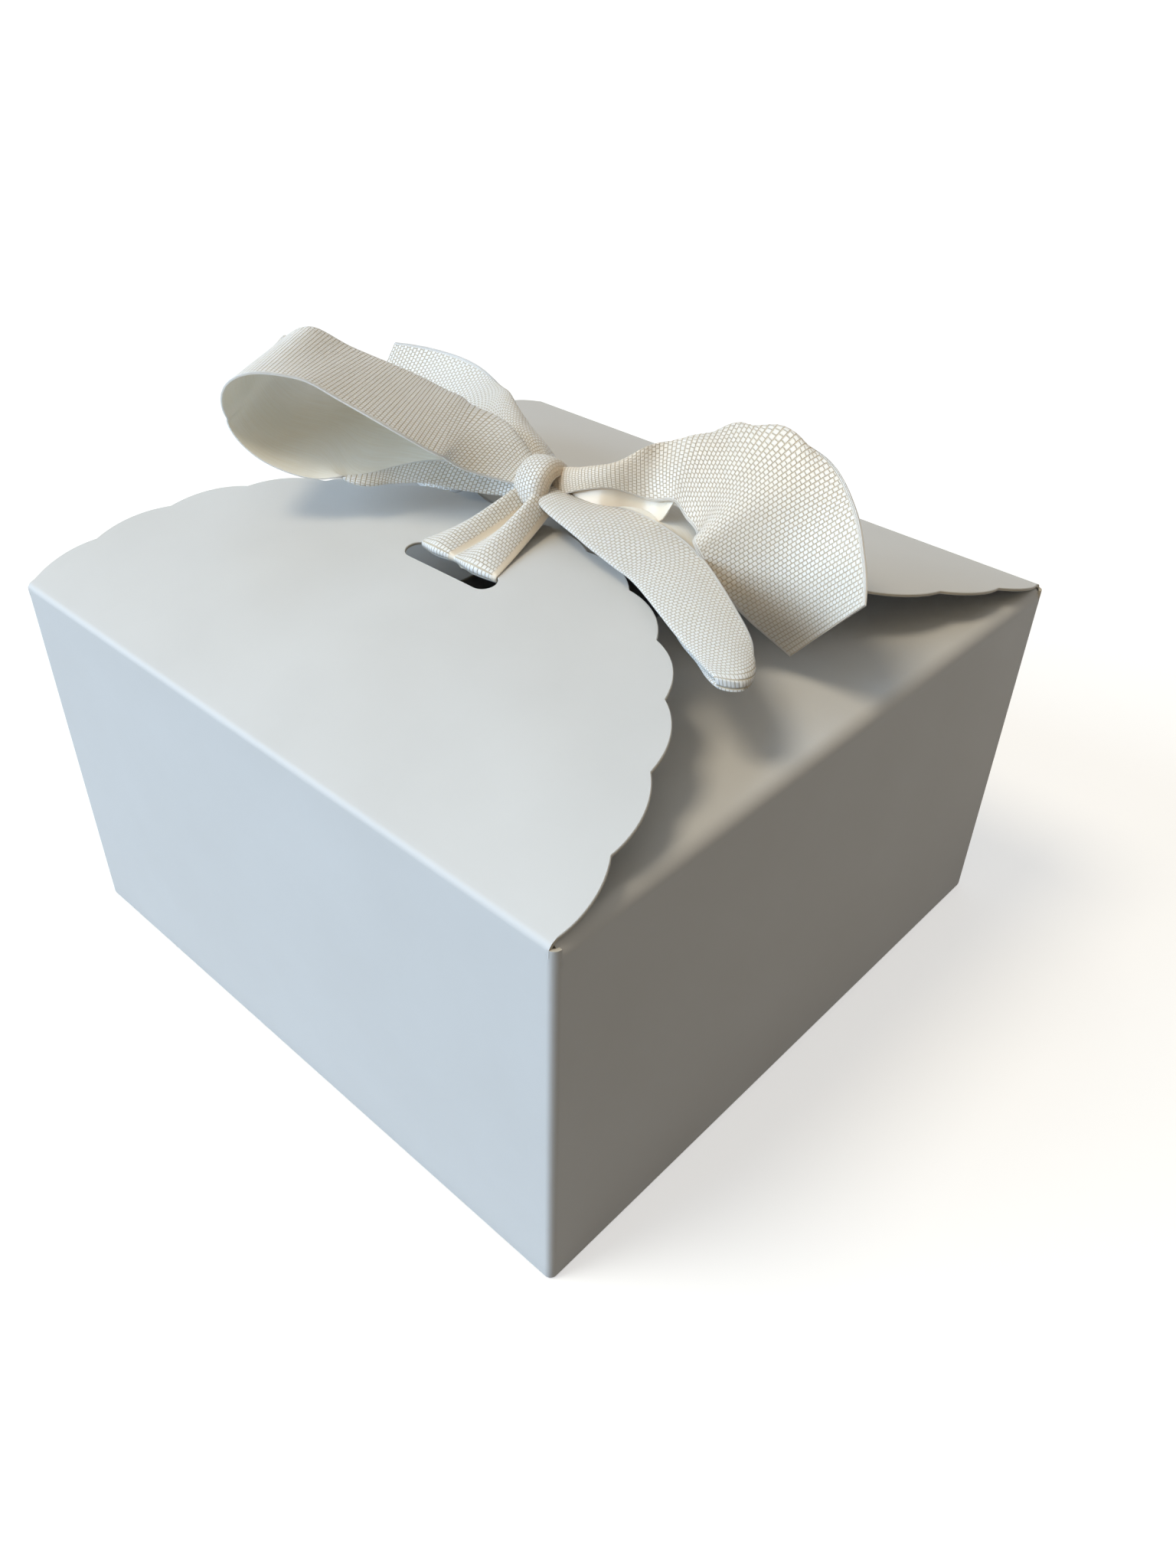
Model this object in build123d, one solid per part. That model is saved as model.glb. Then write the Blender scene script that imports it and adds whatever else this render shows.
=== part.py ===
from build123d import *
import math
import os

# Favor box: a folded card carton with two scalloped lid flaps, tied shut with a ribbon bow.
# Millimetres and degrees. The origin is the middle of the base, +Z is up and -Y is the front.

# Carton
box_side = 115.0  # outside width and depth
box_height = 65.0  # floor to the top creases
card = 0.5  # board thickness
corner_radius = 1.2  # outside radius of the folded vertical corners
base_fold_radius = 0.4  # outside radius of the folded bottom edges
crease_gap = 0.1  # between a wall's top edge and the rounded crease edge of its flap
fold_clearance = 0.5  # between a folded-in flap and the walls and flaps beside it

# Scalloped lid flaps, measured on the flat card from the middle of the crease
flap_setback = 1.3  # the notches between scallops stay this far inside the half side
scallop_count = 14
scallop_height = 1.2  # a scallop's crown beyond its notches
front_flap_rise = 24.0  # slope at the crease, easing to level at the tip
back_flap_rise = 17.0
slot_reach = 39.3  # crease to the middle of the ribbon slot
slot_length = 18.0
slot_width = 4.0

# Dust flaps under the lid flaps
dust_depth = 42.0
dust_inset = 3.0  # each end of the crease to the flap's corner
dust_taper = 16.0
dust_corner_radius = 8.0
dust_dip = 5.0  # slope down into the box

# Glued side seam, inside the back wall at the left corner
glue_tab_width = 15.0
glue_tab_taper = 6.0  # its ends slant by this much

# Snap-lock bottom, four layers of card: tuck flap, side flaps, main flap, tongue
main_flap_depth = 77.0
main_flap_chamfer = 14.0
side_flap_depth = 46.0
side_flap_slant = 24.0  # how far the rear edge slants forward
tongue_width = 54.0
tongue_length = 18.0
tongue_rise_run = 6.0  # distance over which the tongue climbs through the lock slit
tuck_flap_slant = 12.0

# Ribbon
ribbon_width = 22.0
ribbon_thickness = 0.5
ribbon_clearance = 0.35  # between the ribbon and the card that it passes
under_run_drop = 1.0  # slack of the run under the flaps
strand_slot_width = 15.0  # the ribbon's width where it is drawn through a slot
strand_knot_width = 7.0
strand_steps = 6  # straight pieces from the knot to a slot's lip
lip_steps = 6  # straight pieces round a slot's lip
knot_length = 8.0
knot_diameter = 9.0
knot_rounding = 3.0
knot_lift = 0.8  # underside of the knot above the higher lid flap
knot_foot = 0.3  # the strands enter the knot this share of its diameter from its middle

half_side = box_side / 2
inner_half = half_side - card
axis_offset = half_side - card / 2  # the creases run in the middle of the walls
axis_height = box_height - card / 2
wall_top = box_height - card - crease_gap
flap_radius = half_side - flap_setback
panel_half = inner_half - fold_clearance
lock_line = inner_half - main_flap_depth  # free edge of the main bottom flap
tuck_edge = lock_line - tongue_rise_run


def on_arch(reach, rise):
    # Plan distance, height and slope at a flat distance from the crease of an arched flap.
    radius = flap_radius / math.radians(rise)
    slope = math.radians(rise) - reach / radius
    plan = radius * (math.sin(math.radians(rise)) - math.sin(slope))
    height = radius * (math.cos(slope) - math.cos(math.radians(rise)))
    return plan, height, slope


def square_to_arch(reach, rise, offset):
    # A point above or below the card's middle, in the plane across the crease.
    plan, height, slope = on_arch(reach, rise)
    return plan - offset * math.sin(slope), height + offset * math.cos(slope)


def reach_at(plan, rise):
    # Flat distance from the crease at a plan distance from it.
    radius = flap_radius / math.radians(rise)
    slope = math.asin(math.sin(math.radians(rise)) - plan / radius)
    return radius * (math.radians(rise) - slope)


higher_rise = max(front_flap_rise, back_flap_rise)
flap_top = axis_height + square_to_arch(flap_radius, higher_rise, card / 2)[1]
knot_height = flap_top + knot_lift + knot_diameter / 2


def quarter_turns(shape, turns):
    return shape.rotate(Axis.Z, 90 * turns)


def plate(outline, bottom, thickness=card):
    return extrude(Pos(0, 0, bottom) * make_face(outline), thickness)


def closed_line(points):
    return Polyline(*points, close=True)


# Walls: one rounded tube, parted at the middles of its corner folds
def make_walls():
    outside = extrude(RectangleRounded(box_side, box_side, corner_radius), wall_top)
    outside = fillet(outside.faces().sort_by(Axis.Z)[0].edges(), base_fold_radius)
    inside_side = box_side - 2 * card
    inside = extrude(RectangleRounded(inside_side, inside_side, corner_radius - card), wall_top)
    tube = outside - inside
    wedge = plate(closed_line([(0, 0), (-box_side, -box_side), (box_side, -box_side)]), 0, box_height)
    names = ["front_wall", "right_wall", "back_wall", "left_wall"]
    return {name: tube & quarter_turns(wedge, turn) for turn, name in enumerate(names)}


# Lid flaps: a scalloped half disc, bent to an arch that rises from the crease
def scallop_outline(rise):
    def plan_point(angle, radius):
        turn = math.radians(angle)
        return radius * math.cos(turn), on_arch(radius * math.sin(turn), rise)[0]

    step = 180 / scallop_count
    arcs = []
    for index in range(scallop_count):
        notch = plan_point(index * step, flap_radius)
        crown = plan_point((index + 0.5) * step, flap_radius + scallop_height)
        next_notch = plan_point((index + 1) * step, flap_radius)
        arcs.append(ThreePointArc(notch, crown, next_notch))
    back = Polyline((-flap_radius, 0), (-flap_radius, -card), (flap_radius, -card), (flap_radius, 0))
    return make_face(arcs + [back])


def make_scallop_flap(rise):
    end = flap_radius + 2 * scallop_height
    upper = [square_to_arch(reach, rise, card / 2) for reach in (0, end / 2, end)]
    lower = [square_to_arch(reach, rise, -card / 2) for reach in (end, end / 2, 0)]
    turn = math.radians(rise)
    crease = (-card / 2 * math.cos(turn), -card / 2 * math.sin(turn))
    section = make_face(
        [
            ThreePointArc(*upper),
            Line(upper[2], lower[0]),
            ThreePointArc(*lower),
            ThreePointArc(lower[2], crease, upper[0]),
        ]
    )
    sheet = extrude(Plane.YZ * section, half_side, both=True)
    flap = sheet & extrude(scallop_outline(rise), box_height, both=True)
    slot = Pos(0, on_arch(slot_reach, rise)[0]) * SlotOverall(slot_length, slot_width)
    flap -= extrude(slot, box_height, both=True)
    return Pos(0, -axis_offset, axis_height) * flap


# Dust flaps: tapered tongues that dip a little into the box
def make_dust_flap():
    half_crease = half_side - dust_inset
    half_end = half_crease - dust_depth * math.tan(math.radians(dust_taper))
    outline = make_face(
        closed_line([(-half_crease, 0), (half_crease, 0), (half_end, dust_depth), (-half_end, dust_depth)])
    )
    outline = fillet(outline.vertices().group_by(Axis.Y)[-1], dust_corner_radius)
    flap = extrude(Pos(0, 0, -card / 2) * outline, card)
    flap += Rot(0, 90, 0) * Cylinder(card / 2, 2 * half_crease)
    flap = Rot(-dust_dip, 0, 0) * flap
    return Pos(0, -axis_offset, axis_height) * flap


# Side seam: the tab lies flat on the back wall's inner face
def make_glue_tab():
    low = 4 * card + fold_clearance
    high = wall_top - dust_depth * math.sin(math.radians(dust_dip)) - fold_clearance
    far = -inner_half + corner_radius
    near = far + glue_tab_width
    outline = closed_line([(far, low), (near, low + glue_tab_taper), (near, high - glue_tab_taper), (far, high)])
    tab = extrude(Plane.XZ * make_face(outline), card)
    return Pos(0, inner_half, 0) * tab


# Snap-lock bottom
def make_main_flap():
    free = lock_line + fold_clearance
    chamfer = main_flap_chamfer
    outline = closed_line(
        [
            (-panel_half, inner_half),
            (panel_half, inner_half),
            (panel_half, free + chamfer),
            (panel_half - chamfer, free),
            (-panel_half + chamfer, free),
            (-panel_half, free + chamfer),
        ]
    )
    return plate(outline, 2 * card)


def make_side_flap(side):
    free = inner_half - side_flap_depth
    hook = tongue_width / 2 + fold_clearance
    outline = closed_line(
        [
            (side * inner_half, -panel_half),
            (side * inner_half, panel_half),
            (side * free, panel_half - side_flap_slant),
            (side * free, lock_line + fold_clearance),
            (side * hook, lock_line + fold_clearance),
            (side * hook, tuck_edge - fold_clearance),
        ]
    )
    return plate(outline, card)


def make_tuck_flap():
    slanted = panel_half - tuck_flap_slant
    flap = plate(
        closed_line(
            [(-panel_half, -inner_half), (panel_half, -inner_half), (slanted, tuck_edge), (-slanted, tuck_edge)]
        ),
        0,
    )
    tip = lock_line + tongue_length
    climb = closed_line(
        [
            (tuck_edge, 0),
            (lock_line, 3 * card),
            (tip, 3 * card),
            (tip, 4 * card),
            (lock_line, 4 * card),
            (tuck_edge, card),
        ]
    )
    return flap + extrude(Plane.YZ * make_face(climb), tongue_width / 2, both=True)


# Ribbon: thin strips through a few places. A place is a point, the way that the ribbon's width points
# there, and the share of its full width that it is gathered to.
def curve_value(before, start, end, after, share):
    # Catmull-Rom value at a share of the way from start to end.
    slope_in = (end - before) / 2
    slope_out = (after - start) / 2
    cubic = 2 * start - 2 * end + slope_in + slope_out
    square = 3 * end - 3 * start - 2 * slope_in - slope_out
    return start + slope_in * share + square * share**2 + cubic * share**3


def smooth_places(places, parts_between=3):
    middles = [Vector(*place[0]) for place in places]
    across = [Vector(*place[1]).normalized() for place in places]
    widths = [place[2] * ribbon_width for place in places]
    last = len(places) - 1

    def between(values, index, share):
        around = [values[min(max(index + step, 0), last)] for step in (-1, 0, 1, 2)]
        return curve_value(*around, share)

    samples = [(index, part / parts_between) for index in range(last) for part in range(parts_between)]
    samples.append((last - 1, 1.0))
    return [tuple(between(values, *sample) for values in (middles, across, widths)) for sample in samples]


def section_corners(middle, along, across, width):
    square_across = (across - along * across.dot(along)).normalized()
    half_across = square_across * (width / 2)
    half_up = along.cross(square_across) * (ribbon_thickness / 2)
    return [
        middle - half_across - half_up,
        middle + half_across - half_up,
        middle + half_across + half_up,
        middle - half_across + half_up,
    ]


def make_strip(stations, first_along=None, last_along=None):
    # A closed solid through stations of middle, width direction and width in millimetres.
    middles = [station[0] for station in stations]
    ahead = middles[1:] + middles[-1:]
    behind = middles[:1] + middles[:-1]
    alongs = [(after - before).normalized() for after, before in zip(ahead, behind)]
    alongs[0] = first_along or alongs[0]
    alongs[-1] = last_along or alongs[-1]
    sections = [section_corners(middle, along, *rest) for (middle, *rest), along in zip(stations, alongs)]
    faces = [Face(Wire.make_polygon(sections[0])), Face(Wire.make_polygon(sections[-1]))]
    for near, far in zip(sections, sections[1:]):
        for side in range(4):
            other = (side + 1) % 4
            faces.append(Face.make_bezier_surface([[near[side], near[other]], [far[side], far[other]]]))
    return Solid(Shell(faces))


def from_knot(places):
    return Pos(0, 0, knot_height) * make_strip(smooth_places(places))


def make_knot():
    barrel = Rot(0, 90, 0) * Cylinder(knot_diameter / 2, knot_length)
    return Pos(0, 0, knot_height) * fillet(barrel.edges().filter_by(GeomType.CIRCLE), knot_rounding)


# The left loop rises to the front left, turns over and comes back beneath itself
def make_left_loop():
    return from_knot(
        [
            ((-3, -0.5, 3), (0.4, -0.8, 0.4), 0.22),
            ((-12, -3.5, 5.8), (0.57, -0.82, 0.05), 0.86),
            ((-19, -8, 8.6), (0.57, -0.82, 0.1), 1),
            ((-31, -15, 14.1), (0.55, -0.83, 0.1), 1),
            ((-36.5, -18.6, 15.6), (0.52, -0.85, 0), 1),
            ((-40.6, -21.2, 13.2), (0.52, -0.85, 0), 1),
            ((-41.2, -20.9, 8.8), (0.52, -0.85, 0), 1),
            ((-37.5, -19, 5), (0.52, -0.84, 0), 1),
            ((-31.3, -15.6, 3.6), (0.52, -0.84, 0), 0.95),
            ((-25.7, -13, 2.1), (0.52, -0.84, -0.1), 0.78),
            ((-21, -9.5, 1.3), (0.5, -0.84, -0.2), 0.6),
            ((-16, -6.6, 0.6), (0.45, -0.8, -0.35), 0.46),
            ((-11, -3.7, 0), (0.4, -0.7, -0.55), 0.36),
            ((-7, -1.7, -0.3), (0.35, -0.6, -0.7), 0.28),
            ((-3, -0.8, -0.3), (0.35, -0.6, -0.7), 0.22),
        ]
    )


# The right loop lies low and flat towards the front right
def make_right_loop():
    across = (-0.26, -0.88, 0.4)
    return from_knot(
        [
            ((3, -1.6, -0.4), across, 0.2),
            ((7.7, -0.9, -2.4), across, 0.3),
            ((16, -2.8, -3.6), across, 0.5),
            ((26.8, -3.4, -4.2), across, 0.62),
            ((36.9, -7.4, -4.3), across, 0.62),
            ((46.6, -14.2, -3.4), across, 0.46),
            ((51.6, -18.2, -4.3), across, 0.32),
            ((46.2, -14.9, -5.2), across, 0.38),
            ((36.5, -8, -6.1), across, 0.42),
            ((26.4, -4, -6), across, 0.42),
            ((15.7, -3.3, -5.3), across, 0.32),
            ((8, -1.4, -4), across, 0.24),
            ((3, -0.6, -2.1), across, 0.2),
        ]
    )


# The left tail leaves the knot behind the left loop and slants down between the lid flaps
def make_left_tail():
    across = (0, 0.75, 0.66)
    return from_knot(
        [
            ((-3, 1.9, -0.4), across, 0.2),
            ((-9, 3.6, 0), across, 0.4),
            ((-16, 4.4, -0.6), across, 0.62),
            ((-25, 6.8, -2.4), across, 0.92),
            ((-36, 10.5, -2.2), across, 1),
            ((-45, 11, -2.3), across, 1),
            ((-52.5, 9.5, -2.8), across, 1),
        ]
    )


# The right tail opens out, arches over to the right and comes down to its cut end
def make_right_tail():
    return from_knot(
        [
            ((3, 1, 1.6), (0.1, 0.4, 0.9), 0.2),
            ((7.5, 1.2, 3.8), (0.1, 0.4, 0.9), 0.2),
            ((11.5, 2.4, 5.2), (0.1, 0.4, 0.9), 0.22),
            ((16, 5.7, 6.4), (0.14, 0.58, 0.8), 0.33),
            ((20.4, 7.3, 6.1), (0.05, 0.74, 0.67), 0.5),
            ((24.3, 8.5, 6.5), (0.22, 0.73, 0.65), 0.72),
            ((29.4, 7.7, 7.2), (0.36, 0.75, 0.55), 0.91),
            ((34.2, 6.9, 6.1), (0.55, 0.64, 0.53), 0.96),
            ((40, 5.5, 1.6), (0.65, 0.37, 0.66), 1),
            ((44.5, 4.5, -2.4), (0.68, 0.05, 0.73), 1),
            ((48.5, 4, -6.4), (0.62, -0.29, 0.73), 1),
        ]
    )


# The ribbon's way from the knot, over a flap's tip, round the lip of its slot and under the flap
lip_reach = slot_reach + slot_width / 2
strand_offset = card / 2 + ribbon_clearance + ribbon_thickness / 2


def strand_station(side, plan, height, width):
    return Vector(0, side * (axis_offset - plan), axis_height + height), Vector(1, 0, 0), width


def lip_end(side, rise):
    # Where a strand ends beneath its flap, and the way that it runs on towards the other flap.
    plan, height = square_to_arch(lip_reach, rise, -strand_offset)
    slope = on_arch(lip_reach, rise)[2]
    along = Vector(0, -side * math.cos(slope), math.sin(slope))
    return strand_station(side, plan, height, strand_slot_width), along


def make_slot_strand(side, rise):
    foot = knot_foot * knot_diameter
    knot_reach = reach_at(axis_offset - foot, rise)
    resting = axis_height + square_to_arch(knot_reach, rise, strand_offset)[1]
    lift = knot_height - foot - resting
    stations = []
    for step in range(strand_steps):
        share = step / strand_steps
        reach = knot_reach + (lip_reach - knot_reach) * share
        plan, height = square_to_arch(reach, rise, strand_offset)
        width = strand_knot_width + (strand_slot_width - strand_knot_width) * share
        stations.append(strand_station(side, plan, height + lift * (1 - share) ** 2, width))
    plan, height, slope = on_arch(lip_reach, rise)
    for step in range(lip_steps):
        turn = slope + math.pi / 2 + math.pi * step / lip_steps
        lip_plan = plan + strand_offset * math.cos(turn)
        lip_height = height + strand_offset * math.sin(turn)
        stations.append(strand_station(side, lip_plan, lip_height, strand_slot_width))
    last_station, last_along = lip_end(side, rise)
    return make_strip(stations + [last_station], last_along=last_along)


def make_under_run():
    front, front_along = lip_end(-1, front_flap_rise)
    back, back_along = lip_end(1, back_flap_rise)
    middle = min(front[0].Z, back[0].Z) - under_run_drop
    hanging = [(Vector(0, end[0].Y / 2, middle), end[1], end[2]) for end in (front, back)]
    return make_strip([front, *hanging, back], front_along, -back_along)


nodes = make_walls()
nodes["glue_tab"] = make_glue_tab()
nodes["bottom_main_flap"] = make_main_flap()
nodes["bottom_side_flap_left"] = make_side_flap(-1)
nodes["bottom_side_flap_right"] = make_side_flap(1)
nodes["bottom_tuck_flap"] = make_tuck_flap()
nodes["front_scallop_flap"] = make_scallop_flap(front_flap_rise)
nodes["back_scallop_flap"] = quarter_turns(make_scallop_flap(back_flap_rise), 2)
nodes["right_dust_flap"] = quarter_turns(make_dust_flap(), 1)
nodes["left_dust_flap"] = quarter_turns(make_dust_flap(), 3)
nodes["ribbon_knot"] = make_knot()
nodes["ribbon_left_loop"] = make_left_loop()
nodes["ribbon_right_loop"] = make_right_loop()
nodes["ribbon_left_tail"] = make_left_tail()
nodes["ribbon_right_tail"] = make_right_tail()
nodes["ribbon_front_strand"] = make_slot_strand(-1, front_flap_rise)
nodes["ribbon_back_strand"] = make_slot_strand(1, back_flap_rise)
nodes["ribbon_under_run"] = make_under_run()

os.makedirs("parts", exist_ok=True)
for name, shape in nodes.items():
    shape.label = name
    export_step(shape, f"parts/{name}.step")
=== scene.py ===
import math
import random

import bpy
import numpy as np
from mathutils import Matrix, Vector, noise
from mathutils.geometry import delaunay_2d_cdt


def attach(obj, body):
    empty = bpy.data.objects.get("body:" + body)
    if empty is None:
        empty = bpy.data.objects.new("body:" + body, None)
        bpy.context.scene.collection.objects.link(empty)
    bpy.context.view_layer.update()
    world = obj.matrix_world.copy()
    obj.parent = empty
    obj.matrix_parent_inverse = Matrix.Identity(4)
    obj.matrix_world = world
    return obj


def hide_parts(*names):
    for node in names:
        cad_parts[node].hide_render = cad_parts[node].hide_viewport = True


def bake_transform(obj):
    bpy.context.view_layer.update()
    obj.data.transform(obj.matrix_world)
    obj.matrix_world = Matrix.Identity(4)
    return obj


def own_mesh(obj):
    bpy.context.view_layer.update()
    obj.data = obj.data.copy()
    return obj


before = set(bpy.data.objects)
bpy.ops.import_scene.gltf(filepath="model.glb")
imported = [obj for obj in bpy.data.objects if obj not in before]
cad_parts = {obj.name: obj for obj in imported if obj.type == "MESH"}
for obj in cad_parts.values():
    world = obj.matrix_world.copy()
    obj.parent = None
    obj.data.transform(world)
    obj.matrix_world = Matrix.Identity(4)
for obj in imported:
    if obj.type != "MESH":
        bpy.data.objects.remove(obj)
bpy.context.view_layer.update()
print("frame loaded:", len(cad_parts), "nodes")

# All lengths below are millimetres, turned to metres where a mesh is made.
mm = 0.001

# The folded carton, as the solids have it
carton = {
    "halfSide": 57.5, "height": 65.0, "card": 0.5, "cornerRadius": 1.2,
    "flapRadius": 56.2, "scallops": 14, "scallopHeight": 1.2,
    "frontRise": 24.0, "backRise": 17.0,
    "slotReach": 39.3, "slotLength": 18.0, "slotWidth": 4.0,
}
axisOffset = carton["halfSide"] - carton["card"] / 2
axisHeight = carton["height"] - carton["card"] / 2


def addPiece(name, points, faces, materials, faceSlots=None, flats=None, paintedShade=None, sharp=38):
    mesh = bpy.data.meshes.new(name)
    mesh.from_pydata([(p[0] * mm, p[1] * mm, p[2] * mm) for p in points], [], faces)
    for material in materials:
        mesh.materials.append(material)
    if faceSlots is not None:
        mesh.polygons.foreach_set("material_index", list(faceSlots))
    mesh.polygons.foreach_set("use_smooth", [True] * len(mesh.polygons))
    if flats is not None:  # flat place on the cloth, in millimetres
        layer = mesh.uv_layers.new(name="flat")
        corners = np.zeros(len(mesh.loops), np.int32)
        mesh.loops.foreach_get("vertex_index", corners)
        layer.data.foreach_set("uv", np.asarray(flats, np.float32)[corners].ravel())
    # This point attribute is the share of painted warm shade mixed into the ribbon's colour.
    if paintedShade is not None:
        attribute = mesh.attributes.new("paintedShade", "FLOAT", "POINT")
        attribute.data.foreach_set("value", np.asarray(paintedShade, np.float32))
    mesh.update()
    mesh.set_sharp_from_angle(angle=math.radians(sharp))
    piece = bpy.data.objects.new(name, mesh)
    bpy.context.scene.collection.objects.link(piece)
    return piece


# Node helpers
def newMaterial(name):
    material = bpy.data.materials.new(name)
    material.use_nodes = True
    tree = material.node_tree
    return material, tree, tree.nodes["Principled BSDF"]


def addNode(tree, kind, **inputs):
    node = tree.nodes.new("ShaderNode" + kind)
    for key, value in inputs.items():
        if key in node.inputs:
            node.inputs[key].default_value = value
        else:
            setattr(node, key, value)
    return node


def mathNode(tree, operation, first, second=None):
    node = addNode(tree, "Math", operation=operation)
    for socket, value in zip(node.inputs, (first, second)):
        if value is None:
            continue
        if isinstance(value, (int, float)):
            socket.default_value = value
        else:
            tree.links.new(value, socket)
    return node.outputs[0]


def ramp(tree, value, stops):
    node = addNode(tree, "ValToRGB")
    elements = node.color_ramp.elements
    while len(elements) < len(stops):
        elements.new(0.5)
    for element, (place, colour) in zip(elements, stops):
        element.position = place
        element.color = (*colour, 1) if len(colour) == 3 else colour
    tree.links.new(value, node.inputs["Fac"])
    return node.outputs["Color"]


def mixColour(tree, share, first, second):
    node = addNode(tree, "Mix", data_type="RGBA")
    for socket, value in zip((node.inputs[0], node.inputs[6], node.inputs[7]), (share, first, second)):
        if isinstance(value, (int, float)):
            socket.default_value = value
        elif isinstance(value, tuple):
            socket.default_value = (*value, 1)
        else:
            tree.links.new(value, socket)
    return node.outputs[2]


# Card: ivory board, matt with a slight sheen, fine tooth and faint clouding
cardLook = {
    "paper": (0.67, 0.67, 0.66), "shade": (0.64, 0.64, 0.63), "cutEdge": (0.62, 0.57, 0.48), "cutShade": 0.86,
    "roughness": 0.52, "smoother": 0.06, "rougher": 0.08, "gloss": 0.42, "cloudSize": 60.0,
    "toothSize": 2600.0, "toothDepth": 0.12, "toothHeight": 0.00006,
    "swellSize": 22.0, "swellDepth": 0.25, "swellHeight": 0.0006,
}


def makeCard(name, light, dark):
    material, tree, shader = newMaterial(name)
    place = addNode(tree, "TexCoord").outputs["Object"]
    cloud = addNode(tree, "TexNoise", Scale=cardLook["cloudSize"], Detail=4.0)
    tooth = addNode(tree, "TexNoise", Scale=cardLook["toothSize"], Detail=3.0)
    swell = addNode(tree, "TexNoise", Scale=cardLook["swellSize"], Detail=1.0)
    for node in (cloud, tooth, swell):
        tree.links.new(place, node.inputs["Vector"])
    colour = ramp(tree, cloud.outputs["Fac"], [(0.3, dark), (0.7, light)])
    tree.links.new(colour, shader.inputs["Base Color"])
    rough = addNode(tree, "MapRange")
    rough.inputs["To Min"].default_value = cardLook["roughness"] - cardLook["smoother"]
    rough.inputs["To Max"].default_value = cardLook["roughness"] + cardLook["rougher"]
    tree.links.new(cloud.outputs["Fac"], rough.inputs["Value"])
    tree.links.new(rough.outputs["Result"], shader.inputs["Roughness"])
    fine = addNode(tree, "Bump", Strength=cardLook["toothDepth"], Distance=cardLook["toothHeight"])
    tree.links.new(tooth.outputs["Fac"], fine.inputs["Height"])
    broad = addNode(tree, "Bump", Strength=cardLook["swellDepth"], Distance=cardLook["swellHeight"])
    tree.links.new(swell.outputs["Fac"], broad.inputs["Height"])
    tree.links.new(fine.outputs["Normal"], broad.inputs["Normal"])
    tree.links.new(broad.outputs["Normal"], shader.inputs["Normal"])
    shader.inputs["Specular IOR Level"].default_value = cardLook["gloss"]
    return material


card = makeCard("ivoryCard", cardLook["paper"], cardLook["shade"])
cutShade = tuple(cardLook["cutShade"] * c for c in cardLook["cutEdge"])
cutEdge = makeCard("cutCardEdge", cardLook["cutEdge"], cutShade)
cardFinish = [card, cutEdge]

# Ribbon: woven on its outer face, smooth satin on its inner face
ribbonLook = {
    "width": 22.0, "thickness": 0.32, "selvage": 0.6, "selvageThickness": 0.42,
    # The groove colour is painted shade: the tan between the threads stands in for the shade that falls in the
    # weave's grooves.
    "thread": (0.99, 0.985, 0.96), "threadShade": (0.96, 0.94, 0.89), "grooveShade": (0.60, 0.50, 0.34),
    # The warm colour is painted warm shade, laid on gathered folds, the knot's crease, the right tail and the
    # strand.
    "warm": (0.83, 0.66, 0.48), "satin": (0.97, 0.94, 0.85), "satinShade": (0.92, 0.87, 0.75),
    "glow": 0.4, "glowDepth": 0.8, "glowColour": (1.0, 0.95, 0.88),
    "stitchAcross": 0.72, "stitchAlong": 0.6, "grooveWidth": 0.105, "cordStart": 0.8, "cordPitch": 0.3,
    "weaveDepth": 0.9, "weaveHeight": 0.00016, "weaveRough": 0.42, "weaveGloss": 0.55,
    "weaveSheen": 0.25, "weaveSheenRough": 0.4,
    "streaks": (3.6, 0.16, 1.0), "streakDepth": 0.35, "streakHeight": 0.00008,
    "satinRough": 0.3, "satinGloss": 0.5, "satinSheen": 0.2,
}


def letLightThrough(shader):
    shader.inputs["Subsurface Weight"].default_value = ribbonLook["glow"]
    shader.inputs["Subsurface Radius"].default_value = ribbonLook["glowColour"]
    shader.inputs["Subsurface Scale"].default_value = ribbonLook["glowDepth"] * mm


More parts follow.
